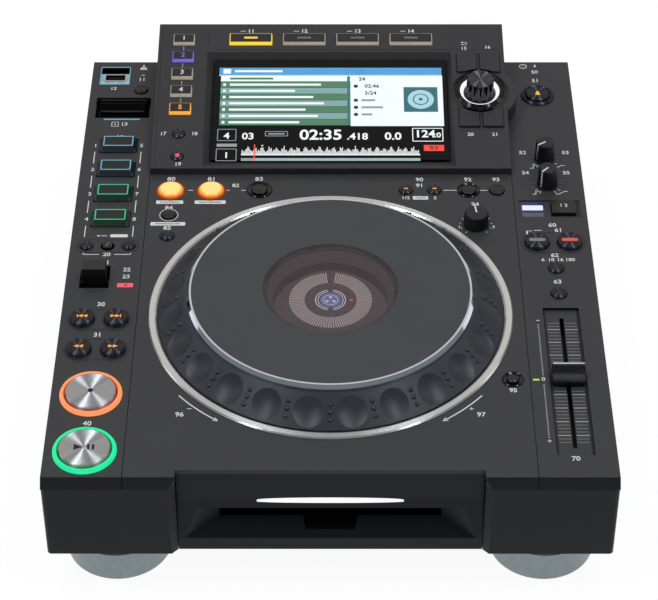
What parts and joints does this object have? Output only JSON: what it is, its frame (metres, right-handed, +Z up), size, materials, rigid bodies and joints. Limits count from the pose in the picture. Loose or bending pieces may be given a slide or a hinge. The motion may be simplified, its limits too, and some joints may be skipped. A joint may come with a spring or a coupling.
{
  "type": "disc player",
  "caption": "Slot-loading tabletop disc player with a jog wheel, tilted display, numbered pads, play and cue keys, knobs and a tempo slider.",
  "frame": {"origin": "on the table, under the middle of the whole player's box", "axes": "+X to the player's right, +Y to its back, +Z up"},
  "size_m": [0.32, 0.406, 0.1143],
  "materials": {
    "case_black": "fine matt texture",
    "deck_grey": "matt, dark grey",
    "housing_grey": "satin, dark grey",
    "key_black": "satin black",
    "key_metal": "spun, satin",
    "pad_lit": "satin with a lit rim",
    "loop_lit": "translucent, lit",
    "knob_black": "gloss black",
    "jog_black": "satin",
    "jog_top": "satin top face",
    "bright_metal": "polished",
    "ring_silver": "satin anodised",
    "window_clear": "smoked clear",
    "display_glass": "gloss",
    "light_clear": "translucent",
    "foot_silver": "satin",
    "rubber_black": "matt",
    "board_green": "solder mask",
    "sheet_steel": "zinc plated",
    "socket_metal": "nickel plated",
    "screw_steel": "black zinc",
    "rear_black": "fine matt paint"
  },
  "bodies": {
    "base": {"lower_case": "case_black", "nose_fascia": "case_black", "deck_cover": "deck_grey", "left_panel": "deck_grey", "right_panel": "deck_grey", "display_housing": "housing_grey", "display_panel": "display_glass", "rear_panel": "rear_black", "rear_sockets": "socket_metal", "media_sockets": "key_black", "circuit_boards": "board_green", "power_supply": "board_green", "disc_drive": "sheet_steel", "jog_trim_ring": "ring_silver", "jog_bearing": "ring_silver", "jog_display": "display_glass", "light_guides": "light_clear", "feet": "foot_silver", "foot_pads": "rubber_black", "case_screws": "screw_steel"},
    "jog": {"jog_wheel": "jog_black", "jog_chrome_ring": "bright_metal", "jog_platter": "jog_top", "jog_window": "window_clear"},
    "selector_push": {"selector_shaft": "bright_metal"},
    "selector_turn": {"selector_knob": "knob_black"},
    "cue_button": {"cue_button": "key_metal"},
    "play_button": {"play_button": "key_metal"},
    "search_buttons": {"search_buttons": "key_metal"},
    "bank_buttons": {"bank_buttons": "key_black"},
    "hot_cue_pad_1": {"hot_cue_pad_1": "pad_lit"},
    "hot_cue_pad_2": {"hot_cue_pad_2": "pad_lit"},
    "hot_cue_pad_3": {"hot_cue_pad_3": "pad_lit"},
    "hot_cue_pad_4": {"hot_cue_pad_4": "pad_lit"},
    "usb_stop_button": {"usb_stop_button": "key_black"},
    "eject_button": {"eject_button": "key_black"},
    "sync_buttons": {"sync_buttons": "key_metal"},
    "tempo_buttons": {"tempo_buttons": "key_black"},
    "jog_mode_button": {"jog_mode_button": "key_black"},
    "loop_in_button": {"loop_in_button": "loop_lit"},
    "loop_out_button": {"loop_out_button": "loop_lit"},
    "reloop_button": {"reloop_button": "key_black"},
    "beat_and_slip_buttons": {"beat_and_slip_buttons": "key_black"},
    "call_buttons": {"call_buttons": "key_black"},
    "memory_buttons": {"memory_buttons": "key_black"},
    "tempo_reset_button": {"tempo_reset_button": "key_black"},
    "menu_buttons": {"menu_buttons": "key_black"},
    "source_buttons": {"source_buttons": "key_black"},
    "display_side_buttons": {"display_side_buttons": "key_black"},
    "corner_buttons": {"corner_buttons": "housing_grey"},
    "start_speed_knob": {"start_speed_knob": "knob_black"},
    "brake_speed_knob": {"brake_speed_knob": "knob_black"},
    "jog_adjust_knob": {"jog_adjust_knob": "knob_black"},
    "direction_lever": {"direction_lever": "knob_black"},
    "card_door": {"card_door": "key_black"},
    "power_rocker": {"power_rocker": "knob_black"},
    "tempo_slider_cap": {"tempo_slider_cap": "knob_black"},
    "disc_spindle": {"disc_spindle": "key_black"},
    "feed_roller": {"feed_roller": "rubber_black"},
    "pickup_sled": {"pickup_sled": "key_black"}
  },
  "joints": [
    {"name": "cue_button_press", "type": "slide", "parent": "base", "child": "cue_button", "axis": [0, 0, -1], "range_m": [0, 0.0012], "stiffness_N_per_m": 600, "springref_m": -0.0015},
    {"name": "play_button_press", "type": "slide", "parent": "base", "child": "play_button", "axis": [0, 0, -1], "range_m": [0, 0.0012], "stiffness_N_per_m": 600, "springref_m": -0.0015},
    {"name": "search_buttons_press", "type": "slide", "parent": "base", "child": "search_buttons", "axis": [0, 0, -1], "range_m": [0, 0.0012], "stiffness_N_per_m": 400, "springref_m": -0.0015},
    {"name": "bank_buttons_press", "type": "slide", "parent": "base", "child": "bank_buttons", "axis": [0, 0, -1], "range_m": [0, 0.0012], "stiffness_N_per_m": 400, "springref_m": -0.0015},
    {"name": "hot_cue_pad_1_press", "type": "slide", "parent": "base", "child": "hot_cue_pad_1", "axis": [0, 0, -1], "range_m": [0, 0.0012], "stiffness_N_per_m": 400, "springref_m": -0.0015},
    {"name": "hot_cue_pad_2_press", "type": "slide", "parent": "base", "child": "hot_cue_pad_2", "axis": [0, 0, -1], "range_m": [0, 0.0012], "stiffness_N_per_m": 400, "springref_m": -0.0015},
    {"name": "hot_cue_pad_3_press", "type": "slide", "parent": "base", "child": "hot_cue_pad_3", "axis": [0, 0, -1], "range_m": [0, 0.0012], "stiffness_N_per_m": 400, "springref_m": -0.0015},
    {"name": "hot_cue_pad_4_press", "type": "slide", "parent": "base", "child": "hot_cue_pad_4", "axis": [0, 0, -1], "range_m": [0, 0.0012], "stiffness_N_per_m": 400, "springref_m": -0.0015},
    {"name": "usb_stop_button_press", "type": "slide", "parent": "base", "child": "usb_stop_button", "axis": [0, 0, -1], "range_m": [0, 0.0012], "stiffness_N_per_m": 400, "springref_m": -0.0015},
    {"name": "eject_button_press", "type": "slide", "parent": "base", "child": "eject_button", "axis": [0, 0, -1], "range_m": [0, 0.0012], "stiffness_N_per_m": 400, "springref_m": -0.0015},
    {"name": "sync_buttons_press", "type": "slide", "parent": "base", "child": "sync_buttons", "axis": [0, 0, -1], "range_m": [0, 0.0012], "stiffness_N_per_m": 400, "springref_m": -0.0015},
    {"name": "tempo_buttons_press", "type": "slide", "parent": "base", "child": "tempo_buttons", "axis": [0, 0, -1], "range_m": [0, 0.0012], "stiffness_N_per_m": 400, "springref_m": -0.0015},
    {"name": "jog_mode_button_press", "type": "slide", "parent": "base", "child": "jog_mode_button", "axis": [0, 0, -1], "range_m": [0, 0.0012], "stiffness_N_per_m": 400, "springref_m": -0.0015},
    {"name": "loop_in_button_press", "type": "slide", "parent": "base", "child": "loop_in_button", "axis": [0, 0, -1], "range_m": [0, 0.0012], "stiffness_N_per_m": 400, "springref_m": -0.0015},
    {"name": "loop_out_button_press", "type": "slide", "parent": "base", "child": "loop_out_button", "axis": [0, 0, -1], "range_m": [0, 0.0012], "stiffness_N_per_m": 400, "springref_m": -0.0015},
    {"name": "reloop_button_press", "type": "slide", "parent": "base", "child": "reloop_button", "axis": [0, 0, -1], "range_m": [0, 0.0012], "stiffness_N_per_m": 400, "springref_m": -0.0015},
    {"name": "beat_and_slip_buttons_press", "type": "slide", "parent": "base", "child": "beat_and_slip_buttons", "axis": [0, 0, -1], "range_m": [0, 0.0012], "stiffness_N_per_m": 400, "springref_m": -0.0015},
    {"name": "call_buttons_press", "type": "slide", "parent": "base", "child": "call_buttons", "axis": [0, 0, -1], "range_m": [0, 0.0012], "stiffness_N_per_m": 400, "springref_m": -0.0015},
    {"name": "memory_buttons_press", "type": "slide", "parent": "base", "child": "memory_buttons", "axis": [0, 0, -1], "range_m": [0, 0.0012], "stiffness_N_per_m": 400, "springref_m": -0.0015},
    {"name": "tempo_reset_button_press", "type": "slide", "parent": "base", "child": "tempo_reset_button", "axis": [0, 0, -1], "range_m": [0, 0.0012], "stiffness_N_per_m": 400, "springref_m": -0.0015},
    {"name": "menu_buttons_press", "type": "slide", "parent": "base", "child": "menu_buttons", "axis": [0, 0.1488, -0.9889], "range_m": [0, 0.0008], "stiffness_N_per_m": 400, "springref_m": -0.0015},
    {"name": "source_buttons_press", "type": "slide", "parent": "base", "child": "source_buttons", "axis": [0, 0.1488, -0.9889], "range_m": [0, 0.0008], "stiffness_N_per_m": 400, "springref_m": -0.0015},
    {"name": "display_side_buttons_press", "type": "slide", "parent": "base", "child": "display_side_buttons", "axis": [0, 0.1488, -0.9889], "range_m": [0, 0.0008], "stiffness_N_per_m": 400, "springref_m": -0.0015},
    {"name": "corner_buttons_press", "type": "slide", "parent": "base", "child": "corner_buttons", "axis": [0, 0.1488, -0.9889], "range_m": [0, 0.0008], "stiffness_N_per_m": 400, "springref_m": -0.0015},
    {"name": "selector_press", "type": "slide", "parent": "base", "child": "selector_push", "axis": [0, 0.1488, -0.9889], "range_m": [0, 0.0008], "stiffness_N_per_m": 400, "springref_m": -0.0015},
    {"name": "selector_turning", "type": "hinge", "parent": "selector_push", "child": "selector_turn", "pos_m": [0.0974, 0.13953, 0.10115], "axis": [0, -0.1488, 0.9889], "continuous": true},
    {"name": "jog_turning", "type": "hinge", "parent": "base", "child": "jog", "pos_m": [0, -0.0604, 0.0864], "axis": [0, 0, 1], "continuous": true},
    {"name": "start_speed_turning", "type": "hinge", "parent": "base", "child": "start_speed_knob", "pos_m": [0.137, 0.0869, 0.0864], "axis": [0, 0, -1], "range_deg": [-140, 140]},
    {"name": "brake_speed_turning", "type": "hinge", "parent": "base", "child": "brake_speed_knob", "pos_m": [0.137, 0.0604, 0.0864], "axis": [0, 0, -1], "range_deg": [-140, 140]},
    {"name": "jog_adjust_turning", "type": "hinge", "parent": "base", "child": "jog_adjust_knob", "pos_m": [0.0902, 0.0209, 0.0864], "axis": [0, 0, -1], "range_deg": [-140, 140]},
    {"name": "direction_rocking", "type": "hinge", "parent": "base", "child": "direction_lever", "pos_m": [-0.1426, -0.0291, 0.0814], "axis": [-1, 0, 0], "range_deg": [-10, 10], "stiffness_Nm_per_rad": 0.05},
    {"name": "card_door_swing", "type": "hinge", "parent": "base", "child": "card_door", "pos_m": [-0.137, 0.1484, 0.0863], "axis": [-1, 0, 0], "range_deg": [0, 100]},
    {"name": "power_rocking", "type": "hinge", "parent": "base", "child": "power_rocker", "pos_m": [-0.068, 0.18925, 0.056], "axis": [1, 0, 0], "range_deg": [0, 12]},
    {"name": "tempo_sliding", "type": "slide", "parent": "base", "child": "tempo_slider_cap", "axis": [0, 1, 0], "range_m": [-0.05, 0.05]},
    {"name": "spindle_turning", "type": "hinge", "parent": "base", "child": "disc_spindle", "pos_m": [0, -0.1001, 0.0469], "axis": [0, 0, 1], "continuous": true},
    {"name": "roller_turning", "type": "hinge", "parent": "base", "child": "feed_roller", "pos_m": [0, -0.1601, 0.0433], "axis": [1, 0, 0], "continuous": true},
    {"name": "sled_sliding", "type": "slide", "parent": "base", "child": "pickup_sled", "axis": [0, 1, 0], "range_m": [0, 0.03]}
  ]
}
